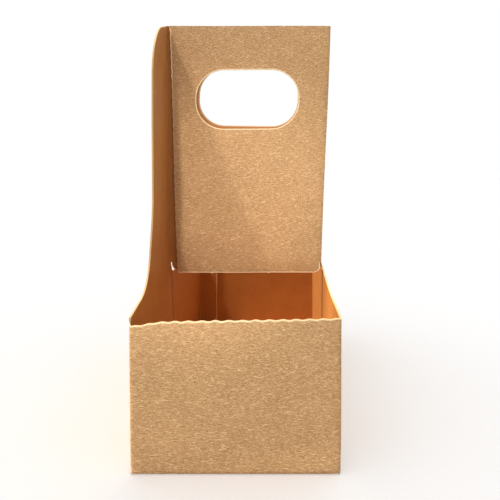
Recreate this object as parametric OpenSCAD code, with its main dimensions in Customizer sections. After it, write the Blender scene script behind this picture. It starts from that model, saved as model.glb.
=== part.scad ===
// Cup carrier for two cups: one die-cut sheet of kraft board, folded and glued.
// The sheet makes a low open tray. Each long wall rises into a tall half, and each
// tall half folds across the middle as one ply of the handle, so the carrier is the
// same again after half a turn about Z.
// Units are mm, Z is up. The origin is the middle of the underside.

/* [Tray] */

// Outside width of the tray, along X
tray_w = 95; // [80:1:120]
// Outside length of the tray, along Y
tray_l = 190; // [170:1:240]
// Height of the long walls where they are low
low_h = 71; // [55:1:90]
// How much lower an end panel stops beside the low wall
end_drop = 0.4; // [0:0.1:4]
// How much lower it stops beside the tall wall
end_drop_tall = 2.2; // [0:0.1:5]

/* [Board] */

// Thickness of the board
board = 0.8; // [0.5:0.1:1.2]
// Inside radius of every fold
fold_r = 0.4; // [0.2:0.1:0.8]
// Height of the wave cut on free edges, middle to crest
wave_a = 0.25; // [0.1:0.05:0.8]
// Length of one wave
wave_p = 6; // [4:0.5:10]

/* [Tall walls] */

// Height of the handle and the tall walls
top_h = 227; // [190:1:260]
// Outward lean of the tall walls
lean = 1.6; // [0.5:0.1:2.5]
// Slope of the shoulder between the corner and the sweep
shoulder = 11; // [4:1:16]
// Radius of the concave sweep up to the upright edge
sweep_r = 23; // [12:1:27]
// Tilt of the upright edge, back toward the handle
upright_tilt = 7.4; // [2:0.1:10]
// Width of a tall wall at its upper corner, measured before that is rounded
crown_w = 43; // [36:1:52]
// Radius of the rounded upper corner
crown_r = 38; // [20:1:42]
// Slope of the top edge, which rises from there to the fold
crown_slope = 16; // [4:1:24]

/* [Handle plies] */

// Radius at the end of the slit that frees a ply from the low wall
slit_r = 6.5; // [4:0.5:10]
// Gap from a ply's free edge to the opposite wall, at the bottom
free_gap = 4.2; // [2:0.1:8]
// The same gap at the top
free_gap_top = 1.4; // [1:0.1:4]
// Width of the hand hole in the front ply
hole_w = 66; // [50:1:70]
// Height of the hand hole in the front ply
hole_h = 38; // [28:0.5:42]
// Corner radius of the hand hole
hole_r = 17.5; // [8:0.5:20]
// Board left above the hand hole
hole_top = 26.5; // [18:0.5:36]
// How much smaller the hole in the rear ply is, at each side
rear_inset = 1.5; // [0.4:0.1:3]
// How much higher the hole in the rear ply sits
rear_lift = 1.2; // [0:0.1:2]
// Width of the torn nicks on a ply's lower edge
nick_w = 1.2; // [0.6:0.1:2]
// Distances of the nicks from the ply's fold
nick_at = [34, 68, 87];

/* [Bottom] */

// Overlap of the two long bottom flaps
seam_lap = 26; // [15:1:40]
// Gap between the end flaps, which meet under the middle
end_gap = 1; // [0.5:0.5:20]
// Width of the glue tab in the rear left corner
tab_w = 15; // [10:1:20]

/* [Hidden] */

$fn = 96;
kraft = [0.80, 0.62, 0.41];
bend_r = board + fold_r;
half_w = tray_w / 2;
half_l = tray_l / 2;
end_h = low_h - end_drop;
end_h_tall = low_h - end_drop_tall;
// levels of the stacked bottom flaps: the end flaps lie lowest, then the two long ones
level_out = board;
level_in = 2 * board;
floor_z = 3 * board;
// bottom of the vertical corner folds and of the glue tab
corner_z = bend_r + 0.5;
tab_z = floor_z + fold_r + 0.8;
// length of the two long flaps from the outside of their walls
flap_l = (tray_w + seam_lap) / 2;
end_flap_l = half_l - end_gap / 2;
// the tall plates turn about this height and reach this far down into the low walls
lean_z = low_h - 2;
root_z = low_h - 4;
over = 0.3;
crest = top_h + over;
// the tall plates start this far from the tray's end, just past the corner fold
start_u = bend_r + 0.6;
// upper corner of a tall wall, and where its rounding leaves the upright and the top edge
corner_u = half_l - crown_w;
corner_v = crest - crown_w * tan(crown_slope);
crown_t = crown_r * tan((90 - upright_tilt - crown_slope) / 2);
upper_u = corner_u - crown_t * sin(upright_tilt);
upper_v = corner_v - crown_t * cos(upright_tilt);
top_u = corner_u + crown_t * cos(crown_slope);
top_v = corner_v + crown_t * sin(crown_slope);
crown_u = top_u + crown_r * sin(crown_slope);
crown_v = top_v - crown_r * cos(crown_slope);
// concave sweep: its centre lies one radius from the shoulder and from the upright edge
sweep_base = low_h + sweep_r / cos(shoulder);
sweep_u = (upper_u * cos(upright_tilt) + (sweep_base - upper_v) * sin(upright_tilt) - sweep_r)
  / (cos(upright_tilt) - tan(shoulder) * sin(upright_tilt));
sweep_v = sweep_base + sweep_u * tan(shoulder);
lower_u = sweep_u + sweep_r * cos(upright_tilt);
lower_v = sweep_v - sweep_r * sin(upright_tilt);
// free edge and fold of a handle ply
lean_top = (top_h - lean_z) * tan(lean);
free_x = -half_w + board + free_gap;
free_x_top = -half_w + board - lean_top + free_gap_top;
// the ply's round corner runs a hair past the start of its fold, so that the two cross
fold_x = half_w - bend_r + (low_h + slit_r - lean_z) * tan(lean) + 0.03;
hole_z = top_h - hole_top - hole_h / 2;
wave_steps = 8;

// outline of a tall wall: U runs from the tray's end to the fold, V is the height
module tall_outline() {
  difference() {
    polygon([
      [start_u, root_z],
      [start_u, low_h + start_u * tan(shoulder)],
      [sweep_u + sweep_r * sin(shoulder), sweep_v - sweep_r * cos(shoulder)],
      [sweep_u, sweep_v],
      [lower_u, lower_v],
      [upper_u, upper_v],
      [crown_u, crown_v],
      [top_u, top_v],
      [half_l - fold_r, crest - fold_r * tan(crown_slope)],
      [half_l - fold_r, root_z]
    ]);
    translate([sweep_u, sweep_v]) circle(r = sweep_r);
  }
  intersection() {
    polygon([
      [upper_u, upper_v], [corner_u, corner_v], [top_u, top_v], [crown_u + 1, crown_v - 1]
    ]);
    translate([crown_u, crown_v]) circle(r = crown_r);
  }
}

// foot of the fold: the low edge sweeps up to the end of the slit
module slit_web() {
  difference() {
    translate([half_l - fold_r, root_z])
      square([slit_r + fold_r + 3, low_h + slit_r - root_z]);
    translate([half_l, low_h]) square([slit_r + 4, slit_r + 1]);
  }
  difference() {
    translate([half_l - fold_r, low_h - 1]) square([slit_r + fold_r, slit_r + 1]);
    translate([half_l + slit_r, low_h + slit_r]) circle(r = slit_r);
  }
}

// rounded rectangle of the hand hole
module hand_hole(inset) {
  w = hole_w - 2 * inset;
  h = hole_h - 2 * inset;
  r = min(hole_r - inset, h / 2 - 0.5);
  square([w - 2 * r, h], center = true);
  square([w, h - 2 * r], center = true);
  for (sx = [-1, 1], sz = [-1, 1])
    translate([sx * (w / 2 - r), sz * (h / 2 - r)]) circle(r = r);
}

// outline of a handle ply: X to the right, Y is the height
module ply_outline() {
  n = round((top_h - low_h) / wave_p) * wave_steps;
  polygon(concat(
    [for (i = [0:n])
      let (f = i / n)
      [free_x + (free_x_top - free_x) * f + 0.6 * wave_a * sin(360 * i / wave_steps),
       low_h + (top_h - low_h) * f]],
    [[half_w + 12, top_h],
     [half_w + 12, low_h + slit_r],
     [fold_x - slit_r, low_h + slit_r],
     [fold_x - slit_r, low_h]]));
  translate([fold_x - slit_r, low_h + slit_r]) circle(r = slit_r);
  // what is left of the nicks that held the ply in the blank
  for (u = nick_at)
    translate([fold_x - u, low_h])
      polygon([[-nick_w / 2, 0.2], [-nick_w / 4, -0.5], [nick_w / 4, -0.4], [nick_w / 2, 0.2]]);
}

// tilts a tall wall outward about the low edge
module leaning() {
  translate([half_w, 0, lean_z]) rotate([0, lean, 0]) translate([-half_w, 0, -lean_z])
    children();
}

// plan of the fold and the ply before trimming
module ply_plan() {
  translate([-half_w - 12, -board]) square([tray_w + 12 - bend_r, board]);
  translate([half_w - bend_r, fold_r]) quarter_ring();
}

// the fold itself: a quarter ring from -Y to +X about its centre
module quarter_ring() {
  intersection() {
    difference() {
      circle(r = bend_r);
      circle(r = fold_r);
    }
    translate([0, -bend_r]) square(bend_r);
  }
}

// tall half of the +X wall with its fold and its ply of the handle
module tall_half(inset, lift) {
  difference() {
    union() {
      leaning()
        translate([half_w - board, half_l, 0]) rotate([90, 0, 90])
          mirror([1, 0]) linear_extrude(height = board) {
            tall_outline();
            slit_web();
          }
      intersection() {
        leaning()
          translate([0, 0, low_h + slit_r - 1])
            linear_extrude(height = top_h - low_h) ply_plan();
        translate([0, fold_r, 0]) rotate([90, 0, 0])
          linear_extrude(height = board + fold_r) ply_outline();
      }
    }
    translate([-tray_w, -board - 1, top_h]) cube([2 * tray_w, tray_l, 10]);
    translate([0, fold_r, hole_z + lift]) rotate([90, 0, 0])
      linear_extrude(height = board + fold_r + 1) hand_hole(inset);
  }
}

// wall that folds in to a bottom flap: drawn in section, X outward face at 0, Y is up
module folding_wall(level, flap, top) {
  translate([0, level + bend_r]) square([board, top - level - bend_r]);
  translate([bend_r, level + bend_r]) mirror([1, 0]) quarter_ring();
  translate([bend_r, level]) square([flap - bend_r, board]);
}

// a long wall with its bottom flap, on the -X side
module long_wall(level, rear_short) {
  translate([-half_w, half_l - rear_short, 0]) rotate([90, 0, 0])
    linear_extrude(height = tray_l - bend_r - rear_short) folding_wall(level, flap_l, low_h);
}

// an end panel with its bottom flap, on the -Y side, with the wave cut along its top,
// which drops toward the tall wall on its left
module end_panel(left, right) {
  n = round(tray_w / wave_p) * wave_steps;
  intersection() {
    translate([-half_w + left, -half_l, 0]) rotate([90, 0, 90])
      linear_extrude(height = tray_w - left - right)
        folding_wall(0, end_flap_l, low_h + 2 * wave_a);
    rotate([90, 0, 0])
      linear_extrude(height = tray_l, center = true)
        polygon(concat(
          [[half_w + 1, 0], [-half_w - 1, 0]],
          [for (i = [0:n])
            let (f = i / n)
            [(f - 0.5) * (tray_w + 2),
             end_h_tall + (end_h - end_h_tall) * f + wave_a * sin(360 * i / wave_steps)]]));
    // the flap narrows toward its free end
    linear_extrude(height = top_h)
      polygon([
        [-half_w, -half_l], [half_w, -half_l], [half_w, -half_l + bend_r],
        [half_w - bend_r - 1, -half_l + bend_r + 1], [half_w - bend_r - 4, -end_gap / 2],
        [-half_w + bend_r + 4, -end_gap / 2], [-half_w + bend_r + 1, -half_l + bend_r + 1],
        [-half_w, -half_l + bend_r]]);
  }
}

// vertical fold at the +X -Y corner
module corner_fold() {
  translate([half_w - bend_r, -half_l + bend_r, corner_z])
    linear_extrude(height = low_h - corner_z) quarter_ring();
}

// glue tab: the -X wall turns in behind the rear panel
module glue_tab() {
  y = half_l - board;
  translate([-half_w + bend_r, y - bend_r, tab_z])
    linear_extrude(height = end_h - 3 - tab_z) rotate(180) quarter_ring();
  translate([-half_w + bend_r, y, 0]) rotate([90, 0, 0])
    linear_extrude(height = board)
      polygon([
        [0, tab_z], [tab_w - bend_r, tab_z + 5],
        [tab_w - bend_r, end_h - 8], [0, end_h - 3]]);
}

module carrier_sheet() {
  color(kraft) {
    // low tray: long walls, end panels, vertical folds and the glued corner
    long_wall(level_out, board + bend_r);
    mirror([1, 0]) long_wall(level_in, bend_r);
    end_panel(bend_r, bend_r);
    rotate([0, 0, 180]) end_panel(bend_r, 0.4);
    corner_fold();
    mirror([1, 0]) corner_fold();
    mirror([0, 1]) corner_fold();
    glue_tab();
    // tall halves with the front and the rear ply of the handle
    tall_half(0, 0);
    rotate([0, 0, 180]) tall_half(rear_inset, rear_lift);
  }
}

carrier_sheet();
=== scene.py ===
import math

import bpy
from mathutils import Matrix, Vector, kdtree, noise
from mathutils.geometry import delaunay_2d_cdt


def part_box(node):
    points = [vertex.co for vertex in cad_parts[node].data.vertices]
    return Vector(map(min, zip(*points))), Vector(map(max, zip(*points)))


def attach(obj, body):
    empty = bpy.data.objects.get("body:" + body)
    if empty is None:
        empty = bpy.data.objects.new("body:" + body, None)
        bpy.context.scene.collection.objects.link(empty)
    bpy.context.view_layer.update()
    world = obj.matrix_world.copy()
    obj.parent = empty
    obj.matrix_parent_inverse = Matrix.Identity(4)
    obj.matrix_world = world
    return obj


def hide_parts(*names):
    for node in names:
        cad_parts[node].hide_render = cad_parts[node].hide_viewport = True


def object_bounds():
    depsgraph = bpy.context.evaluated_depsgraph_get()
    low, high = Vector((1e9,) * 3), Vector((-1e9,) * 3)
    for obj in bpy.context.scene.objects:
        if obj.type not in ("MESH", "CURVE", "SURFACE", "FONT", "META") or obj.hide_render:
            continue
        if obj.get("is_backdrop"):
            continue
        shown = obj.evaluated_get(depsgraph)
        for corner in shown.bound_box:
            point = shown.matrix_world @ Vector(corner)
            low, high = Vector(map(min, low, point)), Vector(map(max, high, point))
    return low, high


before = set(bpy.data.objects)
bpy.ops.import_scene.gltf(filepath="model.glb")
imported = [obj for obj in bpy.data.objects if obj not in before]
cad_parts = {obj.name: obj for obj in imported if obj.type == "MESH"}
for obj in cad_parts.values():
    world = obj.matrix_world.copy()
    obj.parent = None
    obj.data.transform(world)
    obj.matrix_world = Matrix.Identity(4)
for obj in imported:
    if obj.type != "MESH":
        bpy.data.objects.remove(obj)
cad_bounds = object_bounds()

# Looks of the folded kraft cup carrier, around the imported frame.
# The sheet is drawn flat, as the die cuts it, then folded: each panel is an outline in the
# blank's own coordinates (S along the walls, Z up), filled with small triangles and wrapped
# round the tray. The blank's coordinates stay with the sheet as its UV map, so the fibres
# follow the board round every fold. Lengths are in mm until the mesh is made.

NODE = "carrier_sheet"
MM = 0.001

# tray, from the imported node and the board's own sizes
LOW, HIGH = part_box(NODE)
TRAY_W = 95.0
TRAY_L = (HIGH.y - LOW.y) / MM
TOP_H = HIGH.z / MM
HALF_W = TRAY_W / 2
HALF_L = TRAY_L / 2
LOW_H = 71.0
END_DROP = 0.1
END_DROP_TALL = 1.9
END_H = LOW_H - END_DROP
BOARD = 0.8
FOLD_R = 0.4
BEND_R = BOARD + FOLD_R
ARC = BEND_R * math.pi / 2
# foot of an upright corner, and the space beside its bend
CORNER_Z = 0.5
BEND_CLEAR = 0.02
# wave cut on free edges: half its height, its length, the points to a wave, and how much
# and over what length the height varies
WAVE_A = 0.24
WAVE_P = 6.0
WAVE_POINTS = 8
WAVE_UNEVEN = 0.7
WAVE_SPAN = 9.0
# faces that are glued together stay this far apart
GLUE_GAP = 0.03

# tall halves of the long walls
LEAN_Z = LOW_H - 2
LEAN = math.tan(math.radians(1.6))
LEAN_SOFT = 5.0
SHOULDER = math.radians(11)
SWEEP_R = 23.0
UPRIGHT_TILT = math.radians(7.4)
CROWN_W = 43.0
CROWN_R = 38.0
CROWN_SLOPE = math.radians(16)
SLIT_R = 6.5
SLIT_LIP = 0.01
# the worn end of the wave-cut edge, beside the tall wall
EDGE_DIP = 1.5
EDGE_DIP_L = 15.0

# handle plies
FOLD_Y = FOLD_R - GLUE_GAP
FREE_GAP = 4.2
FREE_GAP_TOP = 1.4
FREE_WAVE = 0.6
FREE_CORNER = 1.5
HOLE_W = 64.2
HOLE_H = 37.1
HOLE_R = 17.5
HOLE_TOP = 27.4
HOLE_SHIFT = -0.4
REAR_INSET = 1.2
REAR_LIFT = 1.3
REAR_TURN = math.radians(1.2)
NICK_W = 1.2
NICK_DEEP = (0.5, 0.4)
NICK_AT = (34.0, 68.0, 87.0)

# bottom flaps and glue tab: the end flaps lie lowest, then the two long ones
FLAP_L = 60.5
END_FLAP_GAP = 1.0
END_FLAP_L = HALF_L - END_FLAP_GAP / 2
FLAP_TAPER = 4.0
FLAP_KNEE = 1.0
TAB_W = 15.0
TAB_Z = 3 * BOARD + BEND_R
TAB_RISE = 5.0
TAB_DROP = 3.0
SEAM_EDGE = 0.4
LEVEL_STEP = BOARD + GLUE_GAP
LEVELS = {"left": LEVEL_STEP, "right": 2 * LEVEL_STEP, "front": 0.0, "rear": 0.0}

# the crushed, paler band along cut edges: its width, and the heights between which it shows
CUT_BAND = 0.8
WORN_FOOT = 4.0
WORN_TOP = 1.0
# a ply's free edge lies this far from its fold, and below this height its pale worn band is
# faded out as painted shade
FREE_NEAR = 84.0
FREE_FAR = 100.0
FREE_FOOT = LOW_H + 1
FREE_SHADE_Z = 130.0
FREE_WEAR = 0.55

# fineness of the mesh
GRID = 3.2
EDGE_STEP = 0.75
FOLD_STEPS = 6
# step over which a face's direction is found
NUDGE = 0.05
# least distances between the points of a fill: crease to outline, band to outline, band to
# crease, and grid to all of them
CREASE_CLEAR = 0.12
BAND_CLEAR = 0.8 * CUT_BAND
BAND_CREASE_CLEAR = 0.6 * CUT_BAND
GRID_CLEAR = 0.55 * GRID
# points of a fill keep this far from a fold line that two fills share
EDGE_CLEAR = 0.05
# rows of crease points stop this short of a fold's ends, and of the top of a corner
CREASE_END = 0.3
CORNER_END = 4.0
# a triangle of less than half this area, in square mm, is left out
SLIVER = 0.0001
MERGE = 1e-5
TINY = 1e-6
# edges that turn more than this stay sharp
SHARP = math.radians(38)
# kinds of face, in the order of the board's materials
OUTSIDE, INSIDE, RIM = range(3)

# hand-folded board is never quite flat, and the handle pushes the walls outward
WARP = 0.45
WARP_SPAN = 70.0
WARP_FOOT = 14.0
# where the noise is read for X, Y and Z
WARP_OFFSETS = ((14.7, 11.7, 17.6), (17.2, 6.2, 3.3), (11.0, 4.7, 16.2))
BOW_LEFT = 2.7
BOW_RIGHT = 0.6
PULL_RIGHT = 1.55
BOW_SPAN = 62.0
BOW_FROM = 5.0
# the upper left wall curls in toward its free edge
EDGE_CURL = 1.7
CURL_RUN = 40.0
CURL_FROM = 10.0

# score line that runs down a long wall from the foot of its fold: pressed into the board, and
# its colour darkened as painted shade
SCORE_HALF = 2.2
SCORE_DEEP = 0.6
SCORE_FOOT = 8.0
SCORE_TOP = LOW_H + SLIT_R - 1
SCORE_COLUMNS = 4

# camera, as the photograph was taken
CAM_AT = Vector((0.02073, -0.3148, 0.14024))
CAM_PITCH = math.radians(1.5)
SENSOR = 36.0
FRAME_PX = 500.0
FOCAL_PX = 495.6
SHIFT_PX = (-31.4, -73.2)
CLIP_START = 0.01

# light: an even sky and one key, which travels this way
SKY = 0.92
KEY_TRAVEL = (0.43, 0.051, -1.0)
KEY_POWER = 11.0
KEY_SPREAD = 4.0
KEY_COLOUR = (1.0, 0.96, 0.9)
KEY_AT = (-0.5, -0.1, 1.0)
# a spot from low in front, on the lower handle
SPOT_AT = (-0.085, -0.6, 0.07)
SPOT_AIM = (-0.008, 0.0, 0.126)
SPOT_CONE = 15.0
SPOT_POWER = 7.2
SPOT_SOFT = 0.02
SPOT_BLEND = 0.75
# a narrow one over the end panel, on the inside of the right wall
INNER_AT = (-0.2, -0.3, 0.62)
INNER_AIM = (0.047, -0.045, 0.055)
INNER_CONE = 5.0
INNER_POWER = 38.0
INNER_SOFT = 0.012
# a light table: the floor glows a little, so that it comes out as white as the backdrop
FLOOR_GLOW = 0.16
FLOOR_REACH = 6.0
FLOOR_COLOUR = (0.93, 0.93, 0.93, 1)
FLOOR_ROUGH = 0.9
WHITE = (1, 1, 1, 1)


class Wall:
    """One standing panel of the blank: where it starts, which way it runs and how far."""

    def __init__(self, name, s0, length, start, heading):
        self.name = name
        self.s0 = s0
        self.length = length
        self.start = Vector(start)
        self.heading = Vector(heading)
        self.out = Vector((self.heading.y, -self.heading.x))
        self.end = s0 + length


def lay_out_walls():
    """The panels in the order in which the blank holds them, from the glue tab round."""
    rear_y = HALF_L - BOARD - GLUE_GAP
    panels = (
        ("tab", TAB_W - BEND_R, (-HALF_W + TAB_W, rear_y), (-1, 0)),
        ("left", rear_y + HALF_L - 2 * BEND_R, (-HALF_W, rear_y - BEND_R), (0, -1)),
        ("front", TRAY_W - 2 * BEND_R, (-HALF_W + BEND_R, -HALF_L), (1, 0)),
        ("right", TRAY_L - 2 * BEND_R, (HALF_W, -HALF_L + BEND_R), (0, 1)),
        ("rear", TRAY_W - BEND_R - SEAM_EDGE, (HALF_W - BEND_R, HALF_L), (-1, 0)),
    )
    walls = {}
    s = 0.0
    for name, length, start, heading in panels:
        walls[name] = Wall(name, s, length, start, heading)
        s += length + ARC
    return walls


WALLS = lay_out_walls()
BLANK_L = WALLS["rear"].end
BLANK_FOOT = 70.0


def fold_of(wall):
    """S of the fold where a tall wall turns in to its ply."""
    return wall.end + BEND_R - (HALF_L - FOLD_Y)


def smooth_step(t):
    """Eases from 0 at 0 to 1 at 1, and stays there on either side."""
    t = min(max(t, 0.0), 1.0)
    return t * t * (3 - 2 * t)


def turned(angle):
    """Unit vector at this angle."""
    return Vector((math.cos(angle), math.sin(angle)))


# folding: from the blank's coordinates to a place in the frame

def on_walls(s):
    """Plan point and outward direction of the sheet's outer face at S."""
    for wall in WALLS.values():
        along = s - wall.s0
        if along <= wall.length + TINY or wall.name == "rear":
            return wall.start + wall.heading * along, wall.out
        turn = (along - wall.length) / BEND_R
        if turn < math.pi / 2:
            centre = wall.start + wall.heading * wall.length - wall.out * BEND_R
            facing = wall.out * math.cos(turn) + wall.heading * math.sin(turn)
            return centre + facing * BEND_R, facing
    raise ValueError("S lies past the blank")


def lean_out(z):
    """How far a long wall has moved outward at this height."""
    d = z - LEAN_Z
    return LEAN * (d + math.sqrt(d * d + LEAN_SOFT * LEAN_SOFT)) / 2


def score(s, z):
    """1 on the score line below a fold's foot, falling to 0 beside it."""
    beside = min(abs(s - fold_of(WALLS[name])) for name in ("left", "right"))
    height = smooth_step((z - SCORE_FOOT) / SCORE_FOOT)
    height *= 1 - smooth_step((z - LOW_H) / SLIT_R)
    return height * (1 - smooth_step(beside / SCORE_HALF))


def stand(s, z):
    """Maps the walls, which stand round the tray."""
    point, out = on_walls(s)
    outward = lean_out(z) - SCORE_DEEP * score(s, z)
    return Vector((point.x + out.x * outward, point.y, z))


def tuck_under(wall, level):
    """Maps a bottom flap, which turns in under its wall at this level."""
    def place(s, z):
        point = wall.start + wall.heading * (s - wall.s0)
        down = level + BEND_R - z
        turn = min(down, ARC) / BEND_R
        inward = BEND_R * (1 - math.cos(turn)) + max(down - ARC, 0.0)
        point = point - wall.out * inward
        return Vector((point.x, point.y, level + BEND_R * (1 - math.sin(turn))))
    return place


def fold_in(fold_s, side):
    """Maps a handle ply, which turns in across the tray at its wall's fold."""
    def place(s, z):
        along = fold_s - s
        turn = min(max(along, 0.0), ARC) / BEND_R
        x = HALF_W - BEND_R + lean_out(z) + BEND_R * math.cos(turn) - max(along - ARC, 0.0)
        y = FOLD_Y - BEND_R * math.sin(turn)
        return Vector((side * x, side * y, z))
    return place


def warp(p):
    """Slight bow of the panels: one smooth field, so that glued faces stay together."""
    fade = smooth_step(p.z / WARP_FOOT)
    drift = [noise.noise(p / WARP_SPAN + Vector(offset)) for offset in WARP_OFFSETS]
    moved = p + Vector(drift) * (WARP * fade)
    middle = 1 - smooth_step(abs(p.y) / BOW_SPAN)
    above = p.z - LOW_H
    handle = 1 - smooth_step(above / (TOP_H - LOW_H))
    left = smooth_step((BOW_FROM - p.x) / (HALF_W - BOW_FROM))
    left = left * smooth_step(p.z / LOW_H) * handle
    right = smooth_step((p.x - BOW_FROM) / (HALF_W - BOW_FROM)) * smooth_step(2 * p.z / LOW_H)
    past_slit = smooth_step(above / SLIT_R)
    fading = 1 - smooth_step((above - SLIT_R) / (TOP_H - LOW_H - SLIT_R))
    push = BOW_RIGHT * (1 - past_slit) - PULL_RIGHT * past_slit * fading
    moved.x += middle * (push * right - BOW_LEFT * left)
    if p.x < 0 and p.y < 0:
        toward_edge = smooth_step(-p.y / CURL_RUN)
        moved.x += EDGE_CURL * toward_edge * smooth_step((above - CURL_FROM) / CURL_RUN)
    return moved


# outlines in the blank's coordinates

def line(a, b, step=GRID):
    """Points from a up to, but without, b."""
    a = Vector(a)
    b = Vector(b)
    n = max(1, math.ceil((b - a).length / step))
    return [a.lerp(b, i / n) for i in range(n)]


def arc(centre, r, start, end, step=EDGE_STEP):
    """Points of an arc from the start angle up to, but without, the end angle."""
    n = max(4, math.ceil(abs(end - start) * r / step))
    turns = [start + (end - start) * i / n for i in range(n)]
    return [Vector((centre[0] + r * math.cos(t), centre[1] + r * math.sin(t))) for t in turns]


def round_bend(a, b):
    """Points from a to b across a bend, as many as the bend has steps."""
    a = Vector(a)
    b = Vector(b)
    return [a.lerp(b, i / FOLD_STEPS) for i in range(FOLD_STEPS + 1)]


def fold_line(fold_s):
    """Points up the fold that a tall wall and its ply share."""
    return line((fold_s, LOW_H + SLIT_R), (fold_s, TOP_H))


def long_wall_top(wall):
    """Upper edge of a long wall, from the end of S back to its start."""
    def at(u, v):
        return Vector((wall.end + BEND_R - u, v))

    tilt = Vector((math.sin(UPRIGHT_TILT), math.cos(UPRIGHT_TILT)))
    slope = turned(CROWN_SLOPE)
    corner = Vector((HALF_L - CROWN_W, TOP_H - CROWN_W * math.tan(CROWN_SLOPE)))
    run = CROWN_R * math.tan((math.pi / 2 - UPRIGHT_TILT - CROWN_SLOPE) / 2)
    upper = corner - tilt * run
    crest = corner + slope * run
    crown = crest + CROWN_R * Vector((slope.y, -slope.x))
    rise = math.tan(SHOULDER)
    sweep_base = LOW_H + SWEEP_R / math.cos(SHOULDER)
    sweep_u = upper.x * tilt.y + (sweep_base - upper.y) * tilt.x - SWEEP_R
    sweep_u = sweep_u / (tilt.y - rise * tilt.x)
    sweep = Vector((sweep_u, sweep_base + sweep_u * rise))
    lower = sweep + SWEEP_R * Vector((tilt.y, -tilt.x))
    foot = sweep + SWEEP_R * turned(SHOULDER - math.pi / 2)
    fold_u = HALF_L - FOLD_Y
    points = line((BEND_R, LOW_H + BEND_R * rise), foot, EDGE_STEP)
    points += arc(sweep, SWEEP_R, SHOULDER - math.pi / 2, -UPRIGHT_TILT)
    points += line(lower, upper, GRID / 2)
    points += arc(crown, CROWN_R, math.pi - UPRIGHT_TILT, math.pi / 2 + CROWN_SLOPE)
    points += line(crest, (fold_u, TOP_H), GRID / 2)
    points.append(Vector((fold_u, TOP_H)))
    fold_down = fold_line(fold_u)
    points += fold_down[:0:-1]
    points.append(fold_down[0])
    points += line((HALF_L, LOW_H + SLIT_R), (HALF_L, LOW_H + SLIT_R - SLIT_LIP))
    slit = (HALF_L + SLIT_R, LOW_H + SLIT_R)
    points += arc(slit, SLIT_R, math.pi, 1.5 * math.pi)[1:]
    points += line((HALF_L + SLIT_R, LOW_H), (wall.length + BEND_R, LOW_H), GRID / 2)
    return [at(p.x, p.y) for p in points]


def wave_top(wall):
    """Wave-cut upper edge of an end panel, from the end of S back to its start."""
    n = math.ceil(wall.length / EDGE_STEP)
    points = []
    for i in range(n + 1):
        s = wall.end - wall.length * i / n
        along = s - wall.s0
        drop = END_DROP_TALL + (END_DROP - END_DROP_TALL) * along / wall.length
        drop += EDGE_DIP * (1 - smooth_step(along / EDGE_DIP_L))
        uneven = 1 + WAVE_UNEVEN * noise.noise(Vector((along / WAVE_SPAN, wall.s0, 0)))
        wave = WAVE_A * uneven * math.sin(2 * math.pi * along / WAVE_P)
        points.append(Vector((s, LOW_H - drop + wave)))
    return points


def walls_outline():
    """Outline of the walls in one strip: along the lower folds, then back along the top."""
    points = []
    for name, wall in WALLS.items():
        foot = TAB_Z
        if name in LEVELS:
            foot = LEVELS[name] + BEND_R
        if name == "tab":
            points += line((wall.s0, TAB_Z + TAB_RISE), (wall.end, TAB_Z))
        else:
            points += line((wall.s0, foot), (wall.end, foot))
        points.append(Vector((wall.end, foot)))
        if name != "rear":
            corner = foot if name == "tab" else CORNER_Z
            points += round_bend((wall.end + BEND_CLEAR, corner),
                                 (wall.end + ARC - BEND_CLEAR, corner))
    points += wave_top(WALLS["rear"])
    for wall, top in (("right", long_wall_top), ("front", wave_top), ("left", long_wall_top)):
        upper = top(WALLS[wall])
        points += round_bend(points[-1], upper[0])[1:-1]
        points += upper
    tab = WALLS["tab"]
    tab_top = END_H - TAB_DROP
    points += round_bend((tab.end + ARC, tab_top), (tab.end, tab_top))
    points.append(Vector((tab.s0, END_H - (TAB_DROP + TAB_RISE))))
    return points


def ply_outline(fold_s):
    """Outline of a handle ply, from its fold to its free edge."""
    free_x = -HALF_W + BOARD + FREE_GAP
    free_x_top = -HALF_W + BOARD - lean_out(TOP_H) + FREE_GAP_TOP
    fold_x = HALF_W - BEND_R + lean_out(LOW_H + SLIT_R)

    def at(x, z):
        centre = HALF_W - BEND_R + lean_out(z)
        return Vector((fold_s - ARC - (centre - x), z))

    n = round((TOP_H - LOW_H) / WAVE_P) * WAVE_POINTS
    points = []
    for i in range(n, -1, -1):
        f = i / n
        x = free_x + (free_x_top - free_x) * f
        x += FREE_WAVE * WAVE_A * math.sin(2 * math.pi * i / WAVE_POINTS)
        points.append(at(x, LOW_H + (TOP_H - LOW_H) * f))
    bottom = [(free_x + FREE_CORNER, LOW_H)]
    for u in sorted(NICK_AT, reverse=True):
        middle = fold_x - u
        bottom += [
            (middle - NICK_W / 2, LOW_H),
            (middle - NICK_W / 4, LOW_H - NICK_DEEP[0]),
            (middle + NICK_W / 4, LOW_H - NICK_DEEP[1]),
            (middle + NICK_W / 2, LOW_H),
        ]
    bottom.append((fold_x - SLIT_R, LOW_H))
    for a, b in zip(bottom, bottom[1:]):
        points += [at(p.x, p.y) for p in line(a, b, GRID / 2)]
    round_end = arc((fold_x - SLIT_R, LOW_H + SLIT_R), SLIT_R, -math.pi / 2, 0)
    points += [at(p.x, p.y) for p in round_end]
    points.append(at(fold_x, LOW_H + SLIT_R))
    points += fold_line(fold_s)
    points += line((fold_s, TOP_H), at(free_x_top, TOP_H), GRID / 2)
    return points


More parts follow.
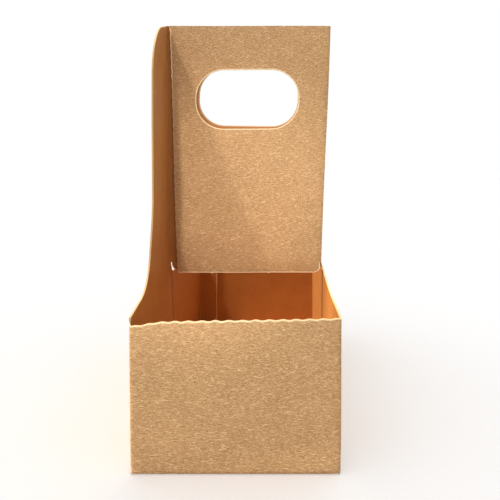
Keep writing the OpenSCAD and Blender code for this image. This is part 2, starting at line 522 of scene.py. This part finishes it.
def hand_hole(fold_s, inset, lift, turn):
    """Outline of the hand hole in a ply, as a closed loop."""
    w = HOLE_W / 2 - inset
    h = HOLE_H / 2 - inset / 2
    r = HOLE_R - inset
    middle = TOP_H - HOLE_TOP - HOLE_H / 2 + lift
    corners = ((1, 1), (-1, 1), (-1, -1), (1, -1))
    loop = []
    for i, (sx, sz) in enumerate(corners):
        start = i * math.pi / 2
        end = start + math.pi / 2
        centre = Vector((sx * (w - r), sz * (h - r)))
        next_sx, next_sz = corners[(i + 1) % 4]
        next_centre = Vector((next_sx * (w - r), next_sz * (h - r)))
        loop += arc(centre, r, start, end)
        loop += line(centre + r * turned(end), next_centre + r * turned(end), EDGE_STEP)
    points = []
    for p in loop:
        x = HOLE_SHIFT + p.x * math.cos(turn) - p.y * math.sin(turn)
        z = middle + p.x * math.sin(turn) + p.y * math.cos(turn)
        fold_x = HALF_W - BEND_R + lean_out(z)
        points.append(Vector((fold_s - ARC - (fold_x - x), z)))
    return points


def flap_outline(wall, depth, taper):
    """Outline of a bottom flap that hangs from a wall's lower fold."""
    top = LEVELS[wall.name] + BEND_R
    reach = top - ARC - (depth - BEND_R)
    points = [Vector((wall.end, top))]
    points += line((wall.s0, top), (wall.end, top))[::-1]
    if taper:
        knee = top - ARC - FLAP_KNEE
        points += line((wall.s0 + taper / 4, knee), (wall.s0 + taper, reach))
        points += line((wall.s0 + taper, reach), (wall.end - taper, reach))
        points += line((wall.end - taper, reach), (wall.end - taper / 4, knee))
        points.append(Vector((wall.end - taper / 4, knee)))
    else:
        points += line((wall.s0, top - ARC), (wall.s0, reach))
        points += line((wall.s0, reach), (wall.end, reach))
        points += line((wall.end, reach), (wall.end, top - ARC))
        points.append(Vector((wall.end, top - ARC)))
    return points


# filling an outline with triangles

def inside(p, loop):
    """Whether a point lies inside a closed outline."""
    odd = False
    x, y = p
    ax, ay = loop[-1]
    for bx, by in loop:
        if (ay > y) != (by > y) and x < (bx - ax) * (y - ay) / (by - ay) + ax:
            odd = not odd
        ax, ay = bx, by
    return odd


def nearest(points):
    """A search tree over points of the blank."""
    tree = kdtree.KDTree(len(points))
    for i, p in enumerate(points):
        tree.insert((p.x, p.y, 0), i)
    tree.balance()
    return tree


def crease_points(s_from, z_from, z_to):
    """Columns of points across a fold, so that it bends in even steps."""
    points = []
    rows = max(2, math.ceil((z_to - z_from) / GRID))
    for k in range(FOLD_STEPS + 1):
        s = s_from + ARC * k / FOLD_STEPS
        for row in range(rows + 1):
            points.append(Vector((s, z_from + (z_to - z_from) * row / rows)))
    return points


def score_points(fold_s):
    """Columns of points along the score line below a fold's foot."""
    points = []
    for k in range(-SCORE_COLUMNS, SCORE_COLUMNS + 1):
        s = fold_s + SCORE_HALF * k / (SCORE_COLUMNS - 1)
        points += line((s, SCORE_FOOT), (s, SCORE_TOP), GRID / 2)
    return points


def inner_band(loop, outline, holes):
    """Points a short way inside an outline or a hole, for the crushed band."""
    points = []
    for i, p in enumerate(loop):
        along = loop[(i + 1) % len(loop)] - loop[i - 1]
        if along.length < TINY:
            continue
        across = Vector((-along.y, along.x)).normalized() * CUT_BAND
        for side in (p + across, p - across):
            if inside(side, outline) and not any(inside(side, hole) for hole in holes):
                points.append(side)
                break
    return points


def fill(outline, holes=(), creases=()):
    """Triangles of the area inside an outline, as points and index triples."""
    points = []
    edges = []
    for loop in (outline, *holes):
        first = len(points)
        points += loop
        edges += [(first + i, first + (i + 1) % len(loop)) for i in range(len(loop))]
    on_edge = nearest(points)
    creases = [p for p in creases if inside(p, outline)]
    creases = [p for p in creases if on_edge.find((*p, 0))[2] > CREASE_CLEAR]
    on_crease = nearest(points[:1] + creases)
    band = []
    for loop in (outline, *holes):
        band += inner_band(loop, outline, holes)
    band = [p for p in band if on_edge.find((*p, 0))[2] > BAND_CLEAR]
    band = [p for p in band if on_crease.find((*p, 0))[2] > BAND_CREASE_CLEAR]
    points += creases + band
    near = nearest(points)
    low_s = min(p.x for p in outline)
    high_s = max(p.x for p in outline)
    low_z = min(p.y for p in outline)
    high_z = max(p.y for p in outline)
    rows = math.ceil((high_z - low_z) / GRID)
    columns = math.ceil((high_s - low_s) / GRID)
    for row in range(rows):
        # every second row is moved by half a step
        shift = 0.25 + 0.5 * (row % 2)
        for column in range(columns):
            p = Vector((low_s + (column + shift) * GRID, low_z + (row + 0.5) * GRID))
            if near.find((*p, 0))[2] < GRID_CLEAR or not inside(p, outline):
                continue
            if any(inside(p, hole) for hole in holes):
                continue
            points.append(p)
    found = delaunay_2d_cdt(points, edges, [], 0, MERGE)
    places = found[0]
    triangles = []
    for face in found[2]:
        p, q, r = (places[i] for i in face)
        middle = (p + q + r) / 3
        if (q - p).cross(r - p) < SLIVER or any(inside(middle, hole) for hole in holes):
            continue
        if inside(middle, outline):
            triangles.append(tuple(face))
    return places, triangles


class Sheet:
    """Collects filled panels in the blank, and makes the folded board of them."""

    def __init__(self):
        self.index = {}
        self.flat = []
        self.outer = []
        self.inner = []
        self.triangles = []

    def add(self, filled, place):
        """Takes in a filled panel, which place() maps into the frame."""
        places, triangles = filled
        known = {}
        for face in triangles:
            corners = []
            for i in face:
                if i not in known:
                    known[i] = self.vertex(places[i], place)
                corners.append(known[i])
            if len(set(corners)) == 3:
                self.triangles.append(corners)

    def vertex(self, p, place):
        """Index of a point of the blank, on the board's outer and inner face."""
        key = (round(p.x, 3), round(p.y, 3))
        if key not in self.index:
            self.index[key] = len(self.flat)
            self.flat.append((p.x, p.y))
            at = warp(place(p.x, p.y))
            along = warp(place(p.x + NUDGE, p.y)) - warp(place(p.x - NUDGE, p.y))
            up = warp(place(p.x, p.y + NUDGE)) - warp(place(p.x, p.y - NUDGE))
            self.outer.append(at * MM)
            self.inner.append((at - along.cross(up).normalized() * BOARD) * MM)
        return self.index[key]

    def cut_edges(self):
        """Edges that only one triangle has, in the direction in which it runs round them."""
        uses = {}
        for a, b, c in self.triangles:
            for pair in ((a, b), (b, c), (c, a)):
                uses.setdefault((min(pair), max(pair)), []).append(pair)
        return [pairs[0] for pairs in uses.values() if len(pairs) == 1]

    def mesh(self, name):
        """Outer face, inner face and cut edges, with the blank as UV map."""
        count = len(self.flat)
        cut = self.cut_edges()
        faces = [tuple(face) for face in self.triangles]
        faces += [(c + count, b + count, a + count) for a, b, c in self.triangles]
        faces += [(a, a + count, b + count, b) for a, b in cut]
        kinds = [OUTSIDE] * len(self.triangles) + [INSIDE] * len(self.triangles)
        kinds += [RIM] * len(cut)
        mesh = bpy.data.meshes.new(name)
        mesh.from_pydata([tuple(p) for p in self.outer + self.inner], [], faces)
        mesh.polygons.foreach_set("material_index", kinds)
        mesh.polygons.foreach_set("use_smooth", [True] * len(faces))
        mesh.set_sharp_from_angle(angle=SHARP)
        layer = mesh.uv_layers.new(name="blank")
        for face in mesh.polygons:
            for loop in face.loop_indices:
                i = mesh.loops[loop].vertex_index
                s, z = self.flat[i % count]
                if face.material_index == RIM and i >= count:
                    z += BOARD
                layer.data[loop].uv = (s / BLANK_L, (z + BLANK_FOOT) / BLANK_L)
        # wear along cut edges, with painted shade fading it on the plies' free edges
        crushed = mesh.attributes.new("cut", "FLOAT", "POINT")
        crushed.data.foreach_set("value", self.wear_and_shade_points(cut) * 2)
        # mask of the score line, along which the materials paint shade
        score_shade = mesh.attributes.new("score", "FLOAT", "POINT")
        score_shade.data.foreach_set("value", [score(s, z) for s, z in self.flat] * 2)
        return mesh

    def wear_and_shade_points(self, cut):
        """Wear at each point of the blank: 1 on a crushed cut edge, 0 away from the edges; on
        a ply's free edge it fades toward the foot as painted shade.
        """
        values = [0.0] * len(self.flat)
        for pair in cut:
            for i in pair:
                s, z = self.flat[i]
                if WORN_FOOT < z < TOP_H - WORN_TOP:
                    # on a ply's free edge the pale band fades toward the foot: painted shade
                    values[i] = free_edge_wear_and_shade(z) if on_free_edge(s, z) else 1.0
        return values


def on_free_edge(s, z):
    """Whether a point of the blank's outline is on the free edge of a handle ply."""
    reach = [fold_of(WALLS[name]) - s for name in ("left", "right")]
    return z > FREE_FOOT and any(FREE_NEAR < r < FREE_FAR for r in reach)


def free_edge_wear_and_shade(z):
    """A ply's free edge is worn at the top, and its pale band fades out toward the foot as
    painted shade.
    """
    return FREE_WEAR * smooth_step((z - FREE_SHADE_Z) / (TOP_H - FREE_SHADE_Z))


def draw_sheet():
    """The whole blank, filled and folded."""
    sheet = Sheet()
    creases = []
    for name in ("tab", "left", "front", "right"):
        creases += crease_points(WALLS[name].end, TAB_Z + CREASE_END, LOW_H - CORNER_END)
    for name in ("left", "right"):
        creases += score_points(fold_of(WALLS[name]))
    sheet.add(fill(walls_outline(), (), creases), stand)
    for name, side, inset, lift, turn in (("right", 1, 0.0, 0.0, 0.0),
                                          ("left", -1, REAR_INSET, REAR_LIFT, REAR_TURN)):
        fold_s = fold_of(WALLS[name])
        outline = ply_outline(fold_s)
        slit_top = LOW_H + SLIT_R
        bend = crease_points(fold_s - ARC, slit_top + CREASE_END, TOP_H - CREASE_END)
        bend = [p for p in bend if p.x < fold_s - EDGE_CLEAR]
        hole = hand_hole(fold_s, inset, lift, turn)
        sheet.add(fill(outline, (hole,), bend), fold_in(fold_s, side))
    for name, depth, taper in (("left", FLAP_L, 0), ("right", FLAP_L, 0),
                               ("front", END_FLAP_L, FLAP_TAPER),
                               ("rear", END_FLAP_L, FLAP_TAPER)):
        wall = WALLS[name]
        bend_z = LEVELS[name] + BEND_R - ARC
        bend = []
        for k in range(1, FOLD_STEPS + 1):
            z = bend_z + ARC * (1 - k / FOLD_STEPS)
            bend += line((wall.s0 + CREASE_END, z), (wall.end - CREASE_END, z))
        outline = flap_outline(wall, depth, taper)
        sheet.add(fill(outline, (), bend), tuck_under(wall, LEVELS[name]))
    return sheet


# materials

# spacing of nodes in a tree
NODE_W = 190
NODE_H = 170
# fibres of the board, in mm, and the noise that draws them
FIBRE_L = 2.4
FIBRE_W = 0.46
FIBRE_ROUGH = 0.6
FIBRE_BEND = 0.6
# shares of specks and flecks in the colour
SPECK_SHARE = 0.6
FLECK_SHARE = 0.5
SPECULAR = 0.25


def add(tree, kind, at, **values):
    """A node at a place on the grid, with its settings and its plain inputs."""
    made = tree.nodes.new(kind)
    made.location = (at[0] * NODE_W, -at[1] * NODE_H)
    for name, value in values.items():
        if name in made.inputs:
            made.inputs[name].default_value = value
        else:
            setattr(made, name, value)
    return made


def math_node(tree, operation, at, a, b):
    """A math node whose operands are sockets or plain numbers."""
    made = add(tree, "ShaderNodeMath", at, operation=operation)
    for socket, value in zip(made.inputs, (a, b)):
        if isinstance(value, (int, float)):
            socket.default_value = value
        else:
            tree.links.new(value, socket)
    return made.outputs[0]


def remap(tree, value, at, low, high):
    """A value spread from low and high to 0 and 1, held at both ends."""
    made = add(tree, "ShaderNodeMapRange", at)
    made.inputs["From Min"].default_value = low
    made.inputs["From Max"].default_value = high
    tree.links.new(value, made.inputs["Value"])
    return made.outputs["Result"]


def fibre_layer(tree, blank, at, length, width, angle, detail):
    """Noise drawn out along the machine direction of the board."""
    turn = add(tree, "ShaderNodeVectorRotate", at, rotation_type="Z_AXIS")
    turn.inputs["Angle"].default_value = math.radians(angle)
    tree.links.new(blank, turn.inputs["Vector"])
    parts = add(tree, "ShaderNodeSeparateXYZ", (at[0] + 1, at[1]))
    tree.links.new(turn.outputs[0], parts.inputs[0])
    across = math_node(tree, "DIVIDE", (at[0] + 2, at[1]), parts.outputs["X"], length)
    up = math_node(tree, "DIVIDE", (at[0] + 2, at[1] + 0.5), parts.outputs["Y"], width)
    joined = add(tree, "ShaderNodeCombineXYZ", (at[0] + 3, at[1]))
    tree.links.new(across, joined.inputs["X"])
    tree.links.new(up, joined.inputs["Y"])
    made = add(tree, "ShaderNodeTexNoise", (at[0] + 4, at[1]), Scale=1.0, Detail=detail,
               Roughness=FIBRE_ROUGH, Distortion=FIBRE_BEND)
    tree.links.new(joined.outputs[0], made.inputs["Vector"])
    return made.outputs["Fac"]


def kraft_fibres():
    """Shared group: pale and dark fibres, specks, mottling and relief of the board."""
    tree = bpy.data.node_groups.new("Kraft fibres", "ShaderNodeTree")
    tree.interface.new_socket("Blank mm", in_out="INPUT", socket_type="NodeSocketVector")
    for name, value in (("Fibre length", FIBRE_L), ("Fibre width", FIBRE_W)):
        made = tree.interface.new_socket(name, in_out="INPUT", socket_type="NodeSocketFloat")
        made.default_value = value
    for name in ("Pale", "Dark", "Flecks", "Specks", "Mottle", "Height"):
        tree.interface.new_socket(name, in_out="OUTPUT", socket_type="NodeSocketFloat")
    source = add(tree, "NodeGroupInput", (0, 0))
    blank = source.outputs["Blank mm"]
    length = source.outputs["Fibre length"]
    width = source.outputs["Fibre width"]
    strands = fibre_layer(tree, blank, (1, 0), length, width, angle=4, detail=3.0)
    short = math_node(tree, "MULTIPLY", (1, 2), length, 0.55)
    thin = math_node(tree, "MULTIPLY", (1, 2.5), width, 0.7)
    crossed = fibre_layer(tree, blank, (2, 2), short, thin, angle=-24, detail=2.0)
    tilted = fibre_layer(tree, blank, (2, 4), short, thin, angle=31, detail=2.0)
    drawn = math_node(tree, "MULTIPLY", (1, 10), length, 1.6)
    fine = math_node(tree, "MULTIPLY", (1, 10.5), width, 1.2)
    strays = fibre_layer(tree, blank, (2, 10), drawn, fine, angle=7, detail=1.0)
    others = fibre_layer(tree, blank, (2, 12), drawn, fine, angle=-19, detail=1.0)
    mottle = add(tree, "ShaderNodeTexNoise", (3, 6), Scale=0.075, Detail=3.0)
    tree.links.new(blank, mottle.inputs["Vector"])
    dots = add(tree, "ShaderNodeTexVoronoi", (3, 8), Scale=0.42)
    tree.links.new(blank, dots.inputs["Vector"])
    mixed = math_node(tree, "ADD", (7, 1), strands, crossed)
    mixed = math_node(tree, "ADD", (8, 1), mixed, tilted)
    mixed = math_node(tree, "DIVIDE", (9, 1), mixed, 3.0)
    pale = remap(tree, strands, (8, 3), low=0.54, high=0.7)
    dark = remap(tree, strands, (8, 4), low=0.46, high=0.3)
    for row, layer in ((5, crossed), (6, tilted)):
        bright = remap(tree, layer, (9, row), low=0.56, high=0.7)
        pale = math_node(tree, "MAXIMUM", (10, row), pale, bright)
        dim = remap(tree, layer, (9, row + 0.5), low=0.44, high=0.3)
        dark = math_node(tree, "MAXIMUM", (11, row), dark, dim)
    flecks = remap(tree, strays, (9, 10), low=0.63, high=0.71)
    more = remap(tree, others, (9, 12), low=0.64, high=0.72)
    flecks = math_node(tree, "MAXIMUM", (10, 10), flecks, more)
    ends = add(tree, "NodeGroupOutput", (13, 0))
    outputs = {
        "Pale": pale,
        "Dark": dark,
        "Flecks": flecks,
        "Specks": remap(tree, dots.outputs["Distance"], (10, 2), low=0.11, high=0.05),
        "Mottle": mottle.outputs["Fac"],
        "Height": mixed,
    }
    for name, socket in outputs.items():
        tree.links.new(socket, ends.inputs[name])
    return tree


def mix_colour(tree, factor, at, a, b):
    """Colour a where the factor is 0 and b where it is 1."""
    made = add(tree, "ShaderNodeMix", at, data_type="RGBA")
    tree.links.new(factor, made.inputs["Factor"])
    for name, value in (("A", a), ("B", b)):
        socket = [i for i in made.inputs if i.name == name and i.type == "RGBA"][0]
        if isinstance(value, tuple):
            socket.default_value = (*value, 1.0)
        else:
            tree.links.new(value, socket)
    return [o for o in made.outputs if o.type == "RGBA"][0]


def board_material(name, fibres, body, shade, pale, dark, pale_share, dark_share,
                   bump_share, bump_mm, low_rough, high_rough, coat=0.0, coat_rough=0.3,
                   worn=None, score_shade=0.0, fleck=None):
    """A face of the board: body colour with pale and dark fibres, specks and mottling, a
    paler worn band along cut edges, and painted shade along the score line.
    """
    material = bpy.data.materials.new(name)
    material.use_nodes = True
    tree = material.node_tree
    tree.nodes.clear()
    uv = add(tree, "ShaderNodeUVMap", (0, 0), uv_map="blank")
    scale = add(tree, "ShaderNodeVectorMath", (1, 0), operation="MULTIPLY")
    tree.links.new(uv.outputs["UV"], scale.inputs[0])
    scale.inputs[1].default_value = (BLANK_L, BLANK_L, 1.0)
    board = add(tree, "ShaderNodeGroup", (2, 0), node_tree=fibres)
    tree.links.new(scale.outputs[0], board.inputs["Blank mm"])
    spread = remap(tree, board.outputs["Mottle"], (3, 2), low=0.36, high=0.66)
    colour = mix_colour(tree, spread, (4, 2), shade, body)
    factor = math_node(tree, "MULTIPLY", (4, 0), board.outputs["Pale"], pale_share)
    colour = mix_colour(tree, factor, (5, 1), colour, pale)
    factor = math_node(tree, "MULTIPLY", (5, 0), board.outputs["Dark"], dark_share)
    colour = mix_colour(tree, factor, (6, 1), colour, dark)
    speck_share = SPECK_SHARE * dark_share
    factor = math_node(tree, "MULTIPLY", (6, 0), board.outputs["Specks"], speck_share)
    colour = mix_colour(tree, factor, (7, 1), colour, dark)
    if fleck:
        factor = math_node(tree, "MULTIPLY", (6, 3), board.outputs["Flecks"], FLECK_SHARE)
        colour = mix_colour(tree, factor, (7, 2), colour, fleck)
    # pale crushed band along cut edges, which is real wear; on the plies' free edges it is
    # faded toward the foot as painted shade
    if worn:
        rim = add(tree, "ShaderNodeAttribute", (6, 4), attribute_name="cut")
        uneven = remap(tree, board.outputs["Height"], (6, 5), low=0.2, high=0.5)
        band = remap(tree, rim.outputs["Fac"], (6, 4.5), low=0.0, high=0.6)
        factor = math_node(tree, "MULTIPLY", (7, 4), band, uneven)
        colour = mix_colour(tree, factor, (8, 1), colour, worn)
    # painted shade: the colour is darkened toward the dark fibre colour along the score line,
    # for the shade in its crease
    if score_shade:
        score_shade_mask = add(tree, "ShaderNodeAttribute", (6, 6), attribute_name="score")
        factor = math_node(tree, "MULTIPLY", (7, 6), score_shade_mask.outputs["Fac"], score_shade)
        colour = mix_colour(tree, factor, (8, 2), colour, dark)
    rough = add(tree, "ShaderNodeMapRange", (7, 3))
    rough.inputs["To Min"].default_value = low_rough
    rough.inputs["To Max"].default_value = high_rough
    tree.links.new(board.outputs["Height"], rough.inputs["Value"])
    bump = add(tree, "ShaderNodeBump", (7, 5), Strength=bump_share, Distance=bump_mm * MM)
    tree.links.new(board.outputs["Height"], bump.inputs["Height"])
    surface = add(tree, "ShaderNodeBsdfPrincipled", (9, 0))
    surface.inputs["Coat Weight"].default_value = coat
    surface.inputs["Coat Roughness"].default_value = coat_rough
    surface.inputs["Specular IOR Level"].default_value = SPECULAR
    tree.links.new(colour, surface.inputs["Base Color"])
    tree.links.new(rough.outputs["Result"], surface.inputs["Roughness"])
    tree.links.new(bump.outputs["Normal"], surface.inputs["Normal"])
    out = add(tree, "ShaderNodeOutputMaterial", (11, 0))
    tree.links.new(surface.outputs[0], out.inputs["Surface"])
    return material


def board_materials():
    """Outside, inside and cut edge of the board."""
    fibres = kraft_fibres()
    outside = board_material(
        "kraft_outside", fibres,
        body=(0.49, 0.278, 0.118), shade=(0.44, 0.246, 0.101),
        pale=(0.76, 0.49, 0.255), dark=(0.24, 0.114, 0.04),
        pale_share=0.72, dark_share=0.66, bump_share=0.95, bump_mm=0.42,
        low_rough=0.7, high_rough=0.9,
        worn=(0.93, 0.7, 0.42), score_shade=0.35, fleck=(0.88, 0.61, 0.34))
    inside_face = board_material(
        "coated_inside", fibres,
        body=(0.375, 0.141, 0.028), shade=(0.34, 0.125, 0.024),
        pale=(0.45, 0.19, 0.045), dark=(0.155, 0.047, 0.009),
        pale_share=0.2, dark_share=0.25, bump_share=0.2, bump_mm=0.06,
        low_rough=0.55, high_rough=0.65, coat=0.26, coat_rough=0.22,
        worn=(0.62, 0.4, 0.2), score_shade=0.8)
    edge = board_material(
        "cut_edge", fibres,
        body=(0.34, 0.21, 0.095), shade=(0.3, 0.185, 0.082),
        pale=(0.46, 0.31, 0.16), dark=(0.23, 0.125, 0.05),
        pale_share=0.5, dark_share=0.35, bump_share=0.5, bump_mm=0.2,
        low_rough=0.75, high_rough=0.95)
    return outside, inside_face, edge


# pieces

def make_board(materials):
    """The folded board with its three kinds of face."""
    mesh = draw_sheet().mesh("folded_board")
    board = bpy.data.objects.new("folded_board", mesh)
    bpy.context.collection.objects.link(board)
    for material in materials:
        mesh.materials.append(material)
    return board


# studio

def make_floor():
    """Pale floor."""
    mesh = bpy.data.meshes.new("floor")
    r = FLOOR_REACH
    mesh.from_pydata([(-r, -r, 0), (r, -r, 0), (r, r, 0), (-r, r, 0)], [], [(0, 1, 2, 3)])
    floor = bpy.data.objects.new("floor", mesh)
    bpy.context.collection.objects.link(floor)
    paint = bpy.data.materials.new("pale_floor")
    paint.use_nodes = True
    shader = paint.node_tree.nodes["Principled BSDF"]
    shader.inputs["Base Color"].default_value = FLOOR_COLOUR
    shader.inputs["Emission Color"].default_value = WHITE
    shader.inputs["Emission Strength"].default_value = FLOOR_GLOW
    shader.inputs["Roughness"].default_value = FLOOR_ROUGH
    mesh.materials.append(paint)
    return floor


def make_sky():
    """Even white light from all round, and a white backdrop."""
    world = bpy.data.worlds.new("studio")
    bpy.context.scene.world = world
    world.use_nodes = True
    tree = world.node_tree
    back = tree.nodes["Background"]
    back.inputs["Color"].default_value = WHITE
    ray = add(tree, "ShaderNodeLightPath", (-3, 0))
    level = add(tree, "ShaderNodeMapRange", (-2, 0))
    level.inputs["To Min"].default_value = SKY
    level.inputs["To Max"].default_value = 1.0
    tree.links.new(ray.outputs["Is Camera Ray"], level.inputs["Value"])
    tree.links.new(level.outputs["Result"], back.inputs["Strength"])


def make_lamps(lit_piece):
    """Lamps that light only the piece, so that none leaves a pool of light on the floor."""
    lit = bpy.data.collections.new("lit_board")
    bpy.context.scene.collection.children.link(lit)
    lit.objects.link(lit_piece)
    key_light(lit)
    spot("handle_spot", SPOT_AT, SPOT_AIM, SPOT_CONE, SPOT_POWER, SPOT_SOFT, lit)
    spot("inner_spot", INNER_AT, INNER_AIM, INNER_CONE, INNER_POWER, INNER_SOFT, lit)


def key_light(lit):
    """Sun-like light from high on the left, which only brushes the front faces."""
    data = bpy.data.lights.new("key_light", "SUN")
    data.energy = KEY_POWER
    data.angle = math.radians(KEY_SPREAD)
    data.color = KEY_COLOUR
    hang("key_light", data, KEY_AT, Vector(KEY_TRAVEL), lit)


def spot(name, place, aim, cone, power, soft, lit):
    """A round pool of light with a soft edge."""
    data = bpy.data.lights.new(name, "SPOT")
    data.energy = power
    data.spot_size = math.radians(cone)
    data.spot_blend = SPOT_BLEND
    data.shadow_soft_size = soft
    hang(name, data, place, Vector(aim) - Vector(place), lit)


def hang(name, data, place, travel, lit):
    """Places a lamp whose light travels this way and falls on these pieces."""
    lamp = bpy.data.objects.new(name, data)
    bpy.context.collection.objects.link(lamp)
    lamp.location = place
    lamp.rotation_euler = travel.to_track_quat("-Z", "Y").to_euler()
    lamp.light_linking.receiver_collection = lit


def make_camera():
    """The camera, as the photograph was taken."""
    data = bpy.data.cameras.new("photo_camera")
    data.sensor_width = SENSOR
    data.lens = FOCAL_PX / FRAME_PX * SENSOR
    data.shift_x = SHIFT_PX[0] / FRAME_PX
    data.shift_y = SHIFT_PX[1] / FRAME_PX
    data.clip_start = CLIP_START
    camera = bpy.data.objects.new("photo_camera", data)
    bpy.context.collection.objects.link(camera)
    camera.location = CAM_AT
    camera.rotation_euler = (math.pi / 2 - CAM_PITCH, 0, 0)
    bpy.context.scene.camera = camera
    bpy.context.scene.view_settings.view_transform = "Standard"


board = make_board(board_materials())
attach(board, "root")
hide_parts(NODE)

floor = make_floor()
floor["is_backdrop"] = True
make_sky()
make_lamps(board)
make_camera()

both = {"cad": cad_bounds, "visual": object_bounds()}
{k: [list(v[0]), list(v[1])] for k, v in both.items()}
